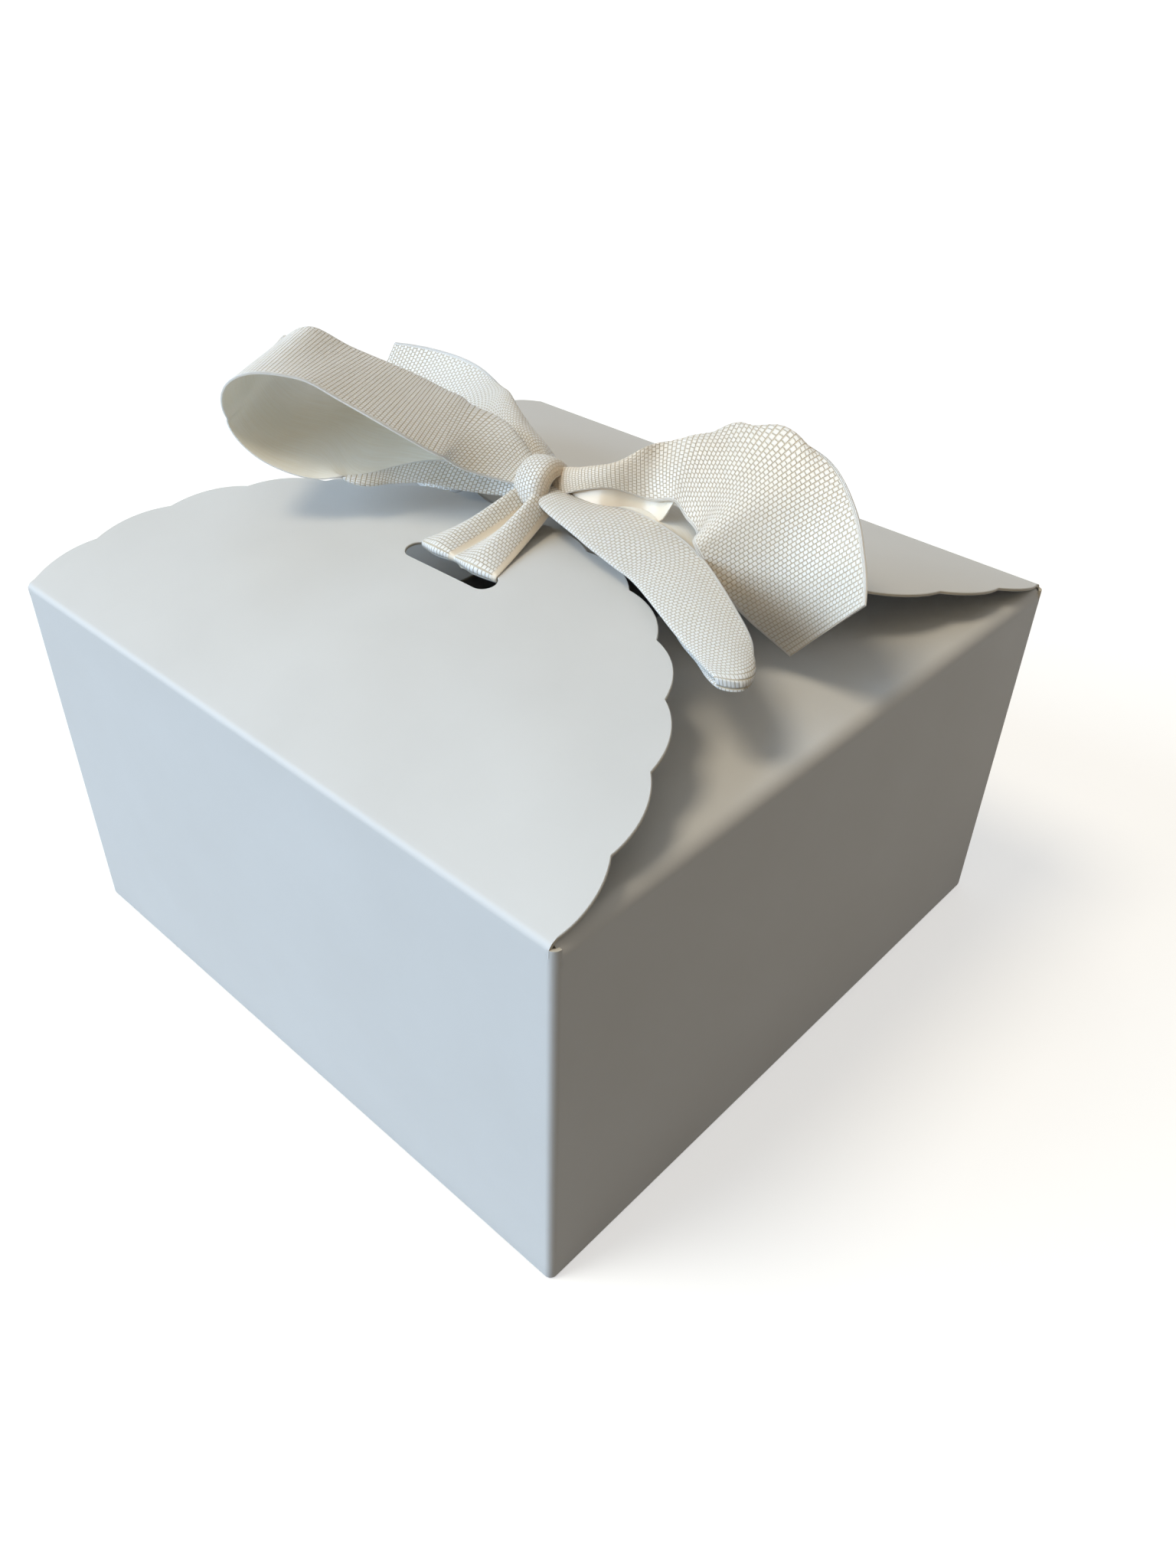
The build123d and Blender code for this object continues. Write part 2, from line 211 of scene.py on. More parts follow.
def makeWoven():
    material, tree, shader = newMaterial("wovenRibbon")
    flat = addNode(tree, "UVMap", uv_map="flat").outputs["UV"]
    stitch = addNode(tree, "TexBrick", offset=0.5, offset_frequency=2, squash=1.0, Scale=1.0, Bias=0.0)
    stitch.inputs["Brick Width"].default_value = ribbonLook["stitchAcross"]
    stitch.inputs["Row Height"].default_value = ribbonLook["stitchAlong"]
    stitch.inputs["Mortar Size"].default_value = ribbonLook["grooveWidth"]
    stitch.inputs["Mortar Smooth"].default_value = 1.0
    # The mortar colour is painted shade in the weave's grooves.
    for socket, part in (("Color1", "thread"), ("Color2", "threadShade"), ("Mortar", "grooveShade")):
        stitch.inputs[socket].default_value = (*ribbonLook[part], 1)
    tree.links.new(flat, stitch.inputs["Vector"])
    across = addNode(tree, "SeparateXYZ")
    tree.links.new(flat, across.inputs[0])
    side = mathNode(tree, "ABSOLUTE", across.outputs["X"])
    edge = addNode(tree, "MapRange")
    edge.inputs["From Min"].default_value = ribbonLook["width"] / 2 - ribbonLook["cordStart"]
    edge.inputs["From Max"].default_value = ribbonLook["width"] / 2 - ribbonLook["selvage"]
    tree.links.new(side, edge.inputs["Value"])
    cordWave = mathNode(tree, "SINE", mathNode(tree, "MULTIPLY", side, 2 * math.pi / ribbonLook["cordPitch"]))
    cordWave = mathNode(tree, "MULTIPLY_ADD", cordWave, 0.5)
    cordWave.node.inputs[2].default_value = 0.5
    cords = mixColour(tree, cordWave, ribbonLook["threadShade"], ribbonLook["thread"])
    colour = mixColour(tree, edge.outputs["Result"], stitch.outputs["Color"], cords)
    # Painted warm shade, mixed in by the per-point share.
    warm = addNode(tree, "Attribute", attribute_name="paintedShade")
    colour = mixColour(tree, warm.outputs["Fac"], colour, ribbonLook["warm"])
    tree.links.new(colour, shader.inputs["Base Color"])
    bumpHeight = mathNode(tree, "SUBTRACT", 1.0, stitch.outputs["Fac"])
    height = addNode(tree, "Mix", data_type="FLOAT")
    tree.links.new(edge.outputs["Result"], height.inputs[0])
    tree.links.new(bumpHeight, height.inputs[2])
    tree.links.new(cordWave, height.inputs[3])
    fine = addNode(tree, "Bump", Strength=ribbonLook["weaveDepth"], Distance=ribbonLook["weaveHeight"])
    tree.links.new(height.outputs[0], fine.inputs["Height"])
    tree.links.new(fine.outputs["Normal"], shader.inputs["Normal"])
    shader.inputs["Roughness"].default_value = ribbonLook["weaveRough"]
    shader.inputs["Specular IOR Level"].default_value = ribbonLook["weaveGloss"]
    shader.inputs["Sheen Weight"].default_value = ribbonLook["weaveSheen"]
    shader.inputs["Sheen Roughness"].default_value = ribbonLook["weaveSheenRough"]
    letLightThrough(shader)
    return material


def makeSatin():
    material, tree, shader = newMaterial("satinRibbon")
    flat = addNode(tree, "UVMap", uv_map="flat").outputs["UV"]
    stretch = addNode(tree, "Mapping")
    stretch.inputs["Scale"].default_value = ribbonLook["streaks"]
    tree.links.new(flat, stretch.inputs["Vector"])
    streak = addNode(tree, "TexNoise", Scale=1.0, Detail=3.0)
    tree.links.new(stretch.outputs["Vector"], streak.inputs["Vector"])
    colour = ramp(tree, streak.outputs["Fac"], [(0.25, ribbonLook["satinShade"]), (0.7, ribbonLook["satin"])])
    # Painted warm shade, mixed in by the per-point share.
    warm = addNode(tree, "Attribute", attribute_name="paintedShade")
    colour = mixColour(tree, warm.outputs["Fac"], colour, ribbonLook["warm"])
    tree.links.new(colour, shader.inputs["Base Color"])
    fine = addNode(tree, "Bump", Strength=ribbonLook["streakDepth"], Distance=ribbonLook["streakHeight"])
    tree.links.new(streak.outputs["Fac"], fine.inputs["Height"])
    tree.links.new(fine.outputs["Normal"], shader.inputs["Normal"])
    shader.inputs["Roughness"].default_value = ribbonLook["satinRough"]
    shader.inputs["Specular IOR Level"].default_value = ribbonLook["satinGloss"]
    shader.inputs["Sheen Weight"].default_value = ribbonLook["satinSheen"]
    letLightThrough(shader)
    return material


woven = makeWoven()
satin = makeSatin()
print("finishes made")


# Card sheets: a flat outline with holes, cut into triangles and laid on a bent surface
def insidePolygon(point, loop):
    inside = False
    x, y = point
    for (x1, y1), (x2, y2) in zip(loop, loop[1:] + loop[:1]):
        if (y1 > y) != (y2 > y) and x < (x2 - x1) * (y - y1) / (y2 - y1) + x1:
            inside = not inside
    return inside


def insetLoop(loop, amount):
    count = len(loop)
    moved = []
    for index in range(count):
        before, here, after = (Vector(loop[(index + step) % count]) for step in (-1, 0, 1))
        first, second = (here - before).normalized(), (after - here).normalized()
        normals = Vector((-first.y, first.x)) + Vector((-second.y, second.x))
        normals = normals.normalized() if normals.length > 1e-6 else Vector((-first.y, first.x))
        reach = max(normals.dot(Vector((-first.y, first.x))), 0.5)
        moved.append(tuple(here + normals * (amount / reach)))
    return moved


def cardSheet(name, outline, holes, place, gridStep=2.2, bevel=0.1):
    half = carton["card"] / 2
    loops = [outline] + holes  # the outline runs anticlockwise, the holes clockwise
    insets = [insetLoop(loop, bevel) for loop in loops]
    joint = min(p[1] for p in outline)  # the straight edge that meets the crease keeps its full thickness
    insets[0] = [(q[0], joint) if p[1] < joint + 1e-6 else q for p, q in zip(outline, insets[0])]
    points, edges = [], []
    for loop in insets:
        first = len(points)
        points += [Vector(p) for p in loop]
        edges += [(first + i, first + (i + 1) % len(loop)) for i in range(len(loop))]
    lows = [min(p[k] for p in outline) for k in (0, 1)]
    highs = [max(p[k] for p in outline) for k in (0, 1)]
    margin = [insetLoop(loop, gridStep * 0.55) for loop in loops]
    rows = int((highs[1] - lows[1]) / gridStep) + 1
    columns = int((highs[0] - lows[0]) / gridStep) + 1
    for row in range(rows):
        for column in range(columns):
            p = (lows[0] + (column + 0.5 * (row % 2)) * gridStep, lows[1] + row * gridStep)
            if insidePolygon(p, margin[0]) and not any(insidePolygon(p, hole) for hole in margin[1:]):
                points.append(Vector(p))
    flat, _, triangles, origins = delaunay_2d_cdt(points, edges, [], 0, 1e-6)[:4]
    where = {source: index for index, sources in enumerate(origins) for source in sources}
    kept = []
    for triangle in triangles:
        centre = sum((flat[i] for i in triangle), Vector((0, 0))) / 3
        if insidePolygon(centre, insets[0]) and not any(insidePolygon(centre, hole) for hole in insets[1:]):
            kept.append(list(triangle))
    verts = [place(p.x, p.y, half) for p in flat] + [place(p.x, p.y, -half) for p in flat]
    below = len(flat)
    faces = kept + [[i + below for i in reversed(face)] for face in kept]
    slots = [0] * len(faces)
    start = 0
    for loop in loops:
        upper = len(verts)
        verts += [place(p[0], p[1], half - bevel) for p in loop]
        lower = len(verts)
        verts += [place(p[0], p[1], bevel - half) for p in loop]
        for i in range(len(loop)):
            j = (i + 1) % len(loop)
            a, b = where[start + i], where[start + j]
            faces += [[b, a, upper + i, upper + j], [upper + j, upper + i, lower + i, lower + j],
                      [lower + j, lower + i, a + below, b + below]]
            slots += [0, 1, 0]
        start += len(loop)
    return addPiece(name, verts, faces, cardFinish, slots)


def finishCard(piece, *nodes):
    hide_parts(*nodes)
    return piece


# Scalloped lid flaps: bent to an arch from the crease, with a slot for the ribbon
def archPlace(x, reach, offset, rise):
    turn = math.radians(rise)
    radius = carton["flapRadius"] / turn
    slope = turn - reach / radius
    plan = radius * (math.sin(turn) - math.sin(slope))
    height = radius * (math.cos(slope) - math.cos(turn))
    return (x, -axisOffset + plan - offset * math.sin(slope), axisHeight + height + offset * math.cos(slope))


def quarterTurn(point, turns):
    x, y, z = point
    for _ in range(turns):
        x, y = -y, x
    return (x, y, z)


creaseLook = {
    "lidRadius": 1.0, "dustRadius": 2.0, "lidStart": 1.2, "dustStart": 2.6,
    "lidWall": 63.2, "dustWall": 61.8, "dustEnd": 56.5, "segments": 12, "columns": 56,
    "blendLow": 0.25, "blendHigh": 0.2,
}


def scallopOutline(start, parts=12):
    radius, count = carton["flapRadius"], carton["scallops"]
    points = []
    for index in range(count):
        ends = [math.pi * (index + k) / count for k in (0, 1)]
        middle = sum(ends) / 2
        chord = 2 * radius * math.sin((ends[1] - ends[0]) / 2)
        sag = radius + carton["scallopHeight"] - radius * math.cos((ends[1] - ends[0]) / 2)
        bend = (chord ** 2 / 4 + sag ** 2) / (2 * sag)
        centre = radius + carton["scallopHeight"] - bend
        sweep = math.asin(chord / 2 / bend)
        for part in range(parts):
            turn = -sweep + 2 * sweep * part / parts
            along, out = bend * math.sin(turn), centre + bend * math.cos(turn)
            points.append((out * math.cos(middle) - along * math.sin(middle),
                           out * math.sin(middle) + along * math.cos(middle)))
    points.append((-radius, 0.0))
    first = next(i for i, p in enumerate(points) if p[1] > start)
    last = max(i for i, p in enumerate(points) if p[1] > start)

    def cross(low, high):
        share = (start - low[1]) / (high[1] - low[1])
        return (low[0] + (high[0] - low[0]) * share, start)

    rim = [cross(points[first - 1], points[first])] + points[first:last + 1]
    rim.append(cross(points[last + 1], points[last]))
    columns = creaseLook["columns"]
    base = [(rim[-1][0] + (rim[0][0] - rim[-1][0]) * k / columns, start) for k in range(1, columns)]
    return rim + base


def slotOutline(parts=14, straight=10):
    half, radius = carton["slotLength"] / 2 - carton["slotWidth"] / 2, carton["slotWidth"] / 2
    loop = []
    for side, begin in ((1, -90), (-1, 90)):
        for part in range(parts + 1):
            turn = math.radians(begin + 180 * part / parts)
            loop.append((side * half + radius * math.cos(turn), carton["slotReach"] + radius * math.sin(turn)))
    for k in range(1, straight):
        loop.append((-half + 2 * half * k / straight, carton["slotReach"] - radius))
    return loop[::-1]


# Slow waves in the card, which fade out at the crease
lidRipple = {"height": 0.35, "scale": 0.045, "fade": 20, "start": creaseLook["lidStart"]}
dustRipple = {"height": 0.3, "scale": 0.03, "fade": 15, "start": creaseLook["dustStart"]}


def rippleLift(ripple, x, reach, seed):
    wave = noise.noise(Vector((x * ripple["scale"], reach * ripple["scale"], seed)))
    return ripple["height"] * wave * min(1.0, max(0.0, (reach - ripple["start"]) / ripple["fade"]))


def makeLidFlap(name, rise, turns, seed):
    def place(x, reach, offset):
        lift = rippleLift(lidRipple, x, reach, seed)
        return quarterTurn(archPlace(x, reach, offset + lift, rise), turns)

    outline = scallopOutline(creaseLook["lidStart"])
    return cardSheet(name, outline, [slotOutline()], place)


frontFlap = finishCard(makeLidFlap("frontScallopFlap", carton["frontRise"], 0, 3.1), "front_scallop_flap")
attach(frontFlap, "front_lid")
backFlap = finishCard(makeLidFlap("backScallopFlap", carton["backRise"], 2, 8.4), "back_scallop_flap")
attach(backFlap, "back_lid")
print("lid flaps made")

# Dust flaps
dustFlap = {"depth": 42.0, "inset": 3.0, "taper": 16.0, "cornerRadius": 8.0, "dip": 5.0, "columns": 50}


def dustOutline(start, parts=10):
    halfCrease = carton["halfSide"] - dustFlap["inset"]
    lean = math.tan(math.radians(dustFlap["taper"]))
    radius, depth = dustFlap["cornerRadius"], dustFlap["depth"]
    turn = math.radians(90 - dustFlap["taper"])
    setBack = radius * math.tan(turn / 2)
    halfEnd = halfCrease - depth * lean
    right = [(halfCrease - start * lean, start)]
    centre = (halfEnd - setBack, depth - radius)
    for part in range(parts + 1):
        angle = math.pi / 2 - turn + turn * part / parts
        right.append((centre[0] + radius * math.cos(angle), centre[1] + radius * math.sin(angle)))
    left = [(-x, y) for x, y in reversed(right)]
    columns = dustFlap["columns"]
    base = [(left[-1][0] + (right[0][0] - left[-1][0]) * k / columns, start) for k in range(1, columns)]
    return right + left + base


def dustPlace(x, reach, offset):
    dip = math.radians(dustFlap["dip"])
    return (x, -axisOffset + reach * math.cos(dip) + offset * math.sin(dip),
            axisHeight - reach * math.sin(dip) + offset * math.cos(dip))


def makeDustFlap(name, turns, seed):
    def place(x, reach, offset):
        lift = rippleLift(dustRipple, x, reach, seed)
        return quarterTurn(dustPlace(x, reach, offset + lift), turns)

    return cardSheet(name, dustOutline(creaseLook["dustStart"]), [], place, gridStep=2.6)


rightDust = finishCard(makeDustFlap("rightDustFlap", 1, 1.7), "right_dust_flap")
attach(rightDust, "right_dust")
leftDust = finishCard(makeDustFlap("leftDustFlap", 3, 5.2), "left_dust_flap")
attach(leftDust, "left_dust")
print("dust flaps made")

# Sleeve: the four walls as one folded tube
sleeveLook = {
    "sideParts": 56, "cornerParts": 7, "rows": 26, "bow": 0.3, "cornerTop": 64.4,
    "baseFold": [(0.24, 0.02), (0.08, 0.1), (0.0, 0.42)],
}
lidWidth = scallopOutline(creaseLook["lidStart"])[0][0]
creaseEnds = [lidWidth, creaseLook["dustEnd"]] * 2


def makeSleeve():
    half, radius, thick = carton["halfSide"], carton["cornerRadius"], carton["card"]
    flatHalf = half - radius
    rim = []  # plan point before the corner radius, outward normal, place along its side from -1 to 1, side
    for side in range(4):
        turn = math.radians(-90 + 90 * side)
        out, along = Vector((math.cos(turn), math.sin(turn))), Vector((-math.sin(turn), math.cos(turn)))
        end = min(creaseEnds[side] / flatHalf, 0.999)
        shares = [-1 + 2 * part / sleeveLook["sideParts"] for part in range(1, sleeveLook["sideParts"])]
        shares = [-1.0, -end - 1e-4, -end] + [s for s in shares if abs(s) < end - 0.01] + [end, end + 1e-4]
        for share in shares:
            rim.append((out * flatHalf + along * (flatHalf * share), out, share, side))
        for part in range(sleeveLook["cornerParts"]):
            angle = turn + math.radians(90) * part / sleeveLook["cornerParts"]
            normal = Vector((math.cos(angle), math.sin(angle)))
            rim.append((out * flatHalf + along * flatHalf, normal, 1.0, side))
    wallTops = [creaseLook["lidWall"], creaseLook["dustWall"]] * 2
    verts, faces, slots = [], [], []
    rows, fold = sleeveLook["rows"], sleeveLook["baseFold"]
    foldTop = fold[-1][1]

    def profile(top):
        outer = [(thick, 0.0)] + fold
        outer += [(0.0, foldTop + (top - foldTop) * k / rows) for k in range(1, rows + 1)]
        return outer + [(thick, top - (top - thick) * k / rows) for k in range(rows)]

    for spot, normal, share, side in rim:
        free = abs(share) == 1.0 or abs(share) * flatHalf > creaseEnds[side] + 1e-3
        top = sleeveLook["cornerTop"] if free else wallTops[side]
        for inset, z in profile(top):
            climb = min(z / creaseLook["dustWall"], 1.0)
            swell = sleeveLook["bow"] * math.cos(share * math.pi / 2) * math.sin(math.pi * climb)
            p = spot + normal * (radius - inset + swell)
            verts.append((p.x, p.y, z))
    depth = len(profile(carton["height"]))
    cutTop = rows + len(fold)
    for i in range(len(rim)):
        j = (i + 1) % len(rim)
        for k in range(depth):
            m = (k + 1) % depth
            faces.append([i * depth + k, j * depth + k, j * depth + m, i * depth + m])
            slots.append(1 if k == cutTop else 0)
    return addPiece("cartonSleeve", verts, faces, cardFinish, slots)


sleeve = finishCard(makeSleeve(), "front_wall", "right_wall", "back_wall", "left_wall")
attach(sleeve, "carton")
print("sleeve made")


# Creases: the folded card between a wall's top and its flap
def makeCrease(name, turns, wallTop, start, radius, rise, halfWidth, body):
    parts = creaseLook["columns"]
    slope = math.radians(rise)
    turn = math.pi / 2 - slope
    reach = radius * math.tan(turn / 2)
    corner = (-axisOffset, axisHeight)
    centre = (corner[0] + radius, corner[1] - reach)
    path = [((-axisOffset, wallTop), 0.0), ((-axisOffset, (wallTop + centre[1]) / 2), 0.0)]
    for part in range(creaseLook["segments"] + 1):
        angle = turn * part / creaseLook["segments"]
        path.append(((centre[0] - radius * math.cos(angle), centre[1] + radius * math.sin(angle)), angle))
    path.append(((corner[0] + start * math.cos(slope), corner[1] + start * math.sin(slope)), turn))
    half = carton["card"] / 2
    section = [(y - half * math.cos(a), z + half * math.sin(a)) for (y, z), a in path]
    section += [(y + half * math.cos(a), z - half * math.sin(a)) for (y, z), a in reversed(path)]
    verts, faces, slots = [], [], []
    count = len(section)
    for column in range(parts + 1):
        x = -halfWidth + 2 * halfWidth * column / parts
        verts += [quarterTurn((x, y, z), turns) for y, z in section]
    for column in range(parts):
        for k in range(count):
            m = (k + 1) % count
            a, b = column * count, (column + 1) * count
            faces.append([a + k, a + m, b + m, b + k])
            slots.append(0)
    length = len(path)
    for column, order in ((0, 1), (parts, -1)):  # the cut ends at the corners
        for k in range(length - 1):
            face = [column * count + i for i in (k, count - 1 - k, count - 2 - k, k + 1)]
            faces.append(face[::-1] if order == -1 else face)
            slots.append(1)
    piece = addPiece(name, verts, faces, cardFinish, slots)
    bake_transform(piece)
    return piece


lidArgs = (creaseLook["lidWall"], creaseLook["lidStart"], creaseLook["lidRadius"])
dustArgs = (creaseLook["dustWall"], creaseLook["dustStart"], creaseLook["dustRadius"])
makeCrease("frontCrease", 0, *lidArgs, carton["frontRise"], lidWidth, "front_lid")
makeCrease("backCrease", 2, *lidArgs, carton["backRise"], lidWidth, "back_lid")
makeCrease("rightCrease", 1, *dustArgs, -dustFlap["dip"], creaseLook["dustEnd"], "right_dust")
makeCrease("leftCrease", 3, *dustArgs, -dustFlap["dip"], creaseLook["dustEnd"], "left_dust")
print("creases made")

# The bottom and the glued seam are flat card as cut
for node in ("glue_tab", "bottom_main_flap", "bottom_side_flap_left", "bottom_side_flap_right",
             "bottom_tuck_flap"):
    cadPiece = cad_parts[node]
    cadPiece.data.materials.clear()
    cadPiece.data.materials.append(card)
print("bottom finished")

# Ribbon strips: a path of places, each with the way the width points and the share it is gathered to
knotHeight = 81.9
panels = 8  # panels between the pleats' folds, across the width
stripLook = {
    "foldShift": 0.25, "foldLow": 0.65, "foldHigh": 1.25, "openFrom": 0.96, "openOver": 0.3,
    "denseSteps": 24, "tipReach": 4.5, "cutReach": 9, "selvageEase": 0.4, "endThinness": 0.55,
    "turnStart": 0.75, "turnScale": (1.4, 0.95),
    # Painted warm shade where the ribbon is gathered tight near the knot.
    "gatherShade": 0.3, "tightFrom": 0.5, "tightOver": 0.3, "plainGatherShade": 0.25,
}


def splineValues(values, spots):
    values = np.asarray(values, float)
    last = len(values) - 1
    index = np.clip(np.floor(spots).astype(int), 0, last - 1)
    share = (spots - index).reshape((-1,) + (1,) * (values.ndim - 1))
    around = [values[np.clip(index + step, 0, last)] for step in (-1, 0, 1, 2)]
    slopeIn, slopeOut = (around[2] - around[0]) / 2, (around[3] - around[1]) / 2
    cubic = 2 * around[1] - 2 * around[2] + slopeIn + slopeOut
    square = 3 * around[2] - 3 * around[1] - 2 * slopeIn - slopeOut
    return around[1] + slopeIn * share + square * share ** 2 + cubic * share ** 3


def gatheredSection(share, draws, pleat):
    chord = ribbonLook["width"] * share
    run = chord / panels
    panel = ribbonLook["width"] / panels
    rise = math.sqrt(max(panel ** 2 - run ** 2, 0.0)) / 2
    ease = min(1.0, max(0.0, (stripLook["openFrom"] - share) / stripLook["openOver"]))
    rise *= pleat * ease
    return [((k / panels - 0.5) * chord + draws[k][0] * run * ease, rise * (-1) ** k * draws[k][1])
            for k in range(panels + 1)]


def foldedSection(width, shape):
    return [(a * width, n) for a, n in shape]


def unit(vectors):
    return vectors / np.maximum(np.linalg.norm(vectors, axis=-1, keepdims=True), 1e-9)


def ribbonStrip(name, places, outer=1, pleat=0.8, seed=1, step=0.55, acrossParts=48, endSkew=0.0,
                lift=(0, 0, knotHeight), wovenRule=None, paintedShadeRule=None, tipRound=0.0, weaveTurned=False):
    draws = random.Random(seed)
    shift, low, high = (stripLook[part] for part in ("foldShift", "foldLow", "foldHigh"))
    shifts = [(draws.uniform(-shift, shift), draws.uniform(low, high)) for _ in range(panels + 1)]
    centres = [p[0] for p in places]
    acrosses = [np.array(p[1], float) / np.linalg.norm(p[1]) for p in places]
    sections = [p[3] if len(p) > 3 else gatheredSection(p[2], shifts, pleat) for p in places]
    shares = [[p[2]] for p in places]
    dense = np.linspace(0, len(places) - 1, stripLook["denseSteps"] * len(places))
    line = splineValues(centres, dense)
    travel = np.concatenate([[0], np.cumsum(np.linalg.norm(np.diff(line, axis=0), axis=1))])
    length = travel[-1]
    rows = max(int(length / step), 8)
    spots = np.interp(np.linspace(0, length, rows + 1), travel, dense)
    centre = splineValues(centres, spots) + np.array(lift)
    along = unit(np.gradient(centre, axis=0))
    across = splineValues(acrosses, spots)
    across = unit(across - along * (across * along).sum(1, keepdims=True))
    normal = np.cross(along, across)
    folds = splineValues(sections, spots)
    share = splineValues(shares, spots)[:, 0]
    shape = np.stack([splineValues(row, np.linspace(0, panels, acrossParts + 1)) for row in folds])
    side = np.linspace(-1, 1, acrossParts + 1)
    way = np.linspace(0, length, rows + 1)
    middle = centre[:, None] + shape[..., :1] * across[:, None] + shape[..., 1:] * normal[:, None]
    if tipRound:  # the sides of a loop's turn lag behind its middle
        far = int(np.argmax(np.linalg.norm(centre - centre[0], axis=1)))
        near = np.exp(-((way - way[far]) / stripLook["tipReach"]) ** 2)[:, None]
        near = near * (2 * shape[..., 0] / np.ptp(shape[far, :, 0])) ** 2
        middle -= (tipRound * near)[..., None] * unit(centre[far] - centre[0])
    cut = stripLook["cutReach"]
    reach = np.clip((way - (length - cut)) / cut, 0, 1) ** 2  # the slanting cut
    middle += along[:, None] * (endSkew * reach[:, None] * side[None])[..., None]
    face = unit(np.cross(np.gradient(middle, axis=0), np.gradient(middle, axis=1)))
    edge = np.clip((np.abs(side) * ribbonLook["width"] / 2 - (ribbonLook["width"] / 2 - ribbonLook["selvage"]))
                   / (stripLook["selvageEase"] * ribbonLook["selvage"]), 0, 1)
    thick = ribbonLook["thickness"] + (ribbonLook["selvageThickness"] - ribbonLook["thickness"]) * edge
    thick[[0, -1]] *= stripLook["endThinness"]
    upper = middle + face * (thick / 2)[None, :, None] * outer
    lower = middle - face * (thick / 2)[None, :, None] * outer
    width = acrossParts + 1
    verts = np.concatenate([upper.reshape(-1, 3), lower.reshape(-1, 3)])
    flats = np.stack(np.meshgrid(side * ribbonLook["width"] / 2, way), axis=-1).reshape(-1, 2)
    if weaveTurned:  # threads run along a bunched band
        start = np.array([stripLook["turnStart"] * length, 0])
        flats = (flats[:, ::-1] - start) * np.array(stripLook["turnScale"])
    flats = np.concatenate([flats, flats])
    # Painted warm shade: the less of its width a place keeps, the more warm shade is painted on it.
    tightness = np.clip((stripLook["tightFrom"] - share) / stripLook["tightOver"], 0, 1)[:, None]
    tightness = stripLook["gatherShade"] * tightness + 0 * side[None]
    paintedShade = (stripLook["plainGatherShade"] * tightness if paintedShadeRule is None else paintedShadeRule(tightness, side)).ravel()
    below = (rows + 1) * width
    faces, slots = [], []
    for i in range(rows):
        for j in range(acrossParts):
            a = i * width + j
            quad = [a, a + width, a + width + 1, a + 1]
            faces += [quad if outer > 0 else quad[::-1],
                      [k + below for k in (quad[::-1] if outer > 0 else quad)]]
            outside, inside = (0, 1) if wovenRule is None else wovenRule(i / rows, side[j])
            slots += [outside, inside]
    rims = []
    for i in range(rows):
        rims.append([i * width, (i + 1) * width])
        rims.append([(i + 1) * width + acrossParts, i * width + acrossParts])
    for j in range(acrossParts):
        rims.append([j + 1, j])
        rims.append([rows * width + j, rows * width + j + 1])
    for a, b in rims:
        quad = [b, a, a + below, b + below]
        faces.append(quad if outer > 0 else quad[::-1])
        slots.append(0)
    piece = addPiece(name, verts, faces, [woven, satin], slots, flats, np.concatenate([paintedShade, paintedShade]), sharp=60)
    print(name, "flat length", round(length, 1))
    return piece, length


def finishRibbon(made, node):
    piece, length = made
    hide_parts(node)
    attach(piece, "front_lid")
    return piece


# Left loop: leaves the knot with its far side tucked under, and comes back with its near side turned up
tuckFar = [(0.2, -1.2), (-0.1, -1.3), (-0.35, -1.1), (-0.5, -0.3), (-0.35, 0.25), (-0.1, 0.4), (0.12, 0.4),
           (0.32, 0.25), (0.5, 0)]
tuckSome = [(-0.28, -0.9), (-0.4, -0.9), (-0.5, -0.3), (-0.42, 0.2), (-0.2, 0.35), (0, 0.4), (0.18, 0.35),
            (0.36, 0.2), (0.5, 0)]
tuckLittle = [(-0.46, -0.35), (-0.5, -0.1), (-0.37, 0.15), (-0.2, 0.2), (-0.02, 0.2), (0.14, 0.2), (0.28, 0.15),
              (0.4, 0.1), (0.5, 0)]


def turnedUp(width, turned):
    return foldedSection(width, [(-0.44, 0.5), (-0.5, 0.2), (-0.3, 0), (-0.05, -0.1), (0.2, 0), (0.42, 0.1),
                                 (0.5, -0.25), (0.5 - 0.5 * turned / width, -0.75), (0.5 - turned / width, -0.8)])


leftLoop = {"seed": 4, "places": [
    ((-3.2, -1.2, 1.2), (0.5, -0.7, -0.5), 0.25, foldedSection(5.5, tuckFar)),
    ((-7.4, -2.2, 2.9), (0.52, -0.73, -0.45), 0.45, foldedSection(10, tuckFar)),
    ((-12.4, -3.7, 5.0), (0.68, -0.7, -0.2), 0.8, foldedSection(17.4, tuckSome)),
    ((-15.8, -5.8, 6.8), (0.62, -0.77, -0.08), 0.93, foldedSection(20.4, tuckLittle)),
    ((-20.4, -8.8, 9.3), (0.57, -0.82, 0.02), 1), ((-25.6, -11.9, 11.8), (0.56, -0.82, 0.06), 1),
    ((-31, -15, 14.1), (0.55, -0.83, 0.1), 1),
    ((-36.5, -18.6, 15.6), (0.52, -0.85, 0), 1),
    ((-40.6, -21.2, 13.2), (0.52, -0.85, 0), 1),
    ((-41.4, -20.9, 8.6), (0.52, -0.85, -0.08), 1),
    ((-37.5, -19, 4.8), (0.52, -0.82, -0.2), 1),
    ((-31.3, -15.2, 3.4), (0.52, -0.8, -0.3), 1),
    ((-26.5, -12, 2.6), (0.52, -0.8, -0.3), 0.92, turnedUp(20.4, 1)),
    ((-22, -8.6, 1.9), (0.5, -0.8, -0.3), 0.8, turnedUp(17.4, 3)),
    ((-16.8, -5.6, 1.3), (0.45, -0.8, -0.3), 0.62, turnedUp(13.6, 4.4)),
    ((-11.4, -3.2, 0.5), (0.4, -0.7, -0.5), 0.45, turnedUp(9.8, 4.6)),
    ((-7, -1.6, -0.2), (0.35, -0.6, -0.7), 0.3, turnedUp(6.6, 4)),
    ((-3, -0.8, -0.3), (0.35, -0.6, -0.7), 0.22, turnedUp(4.8, 3)),
]}

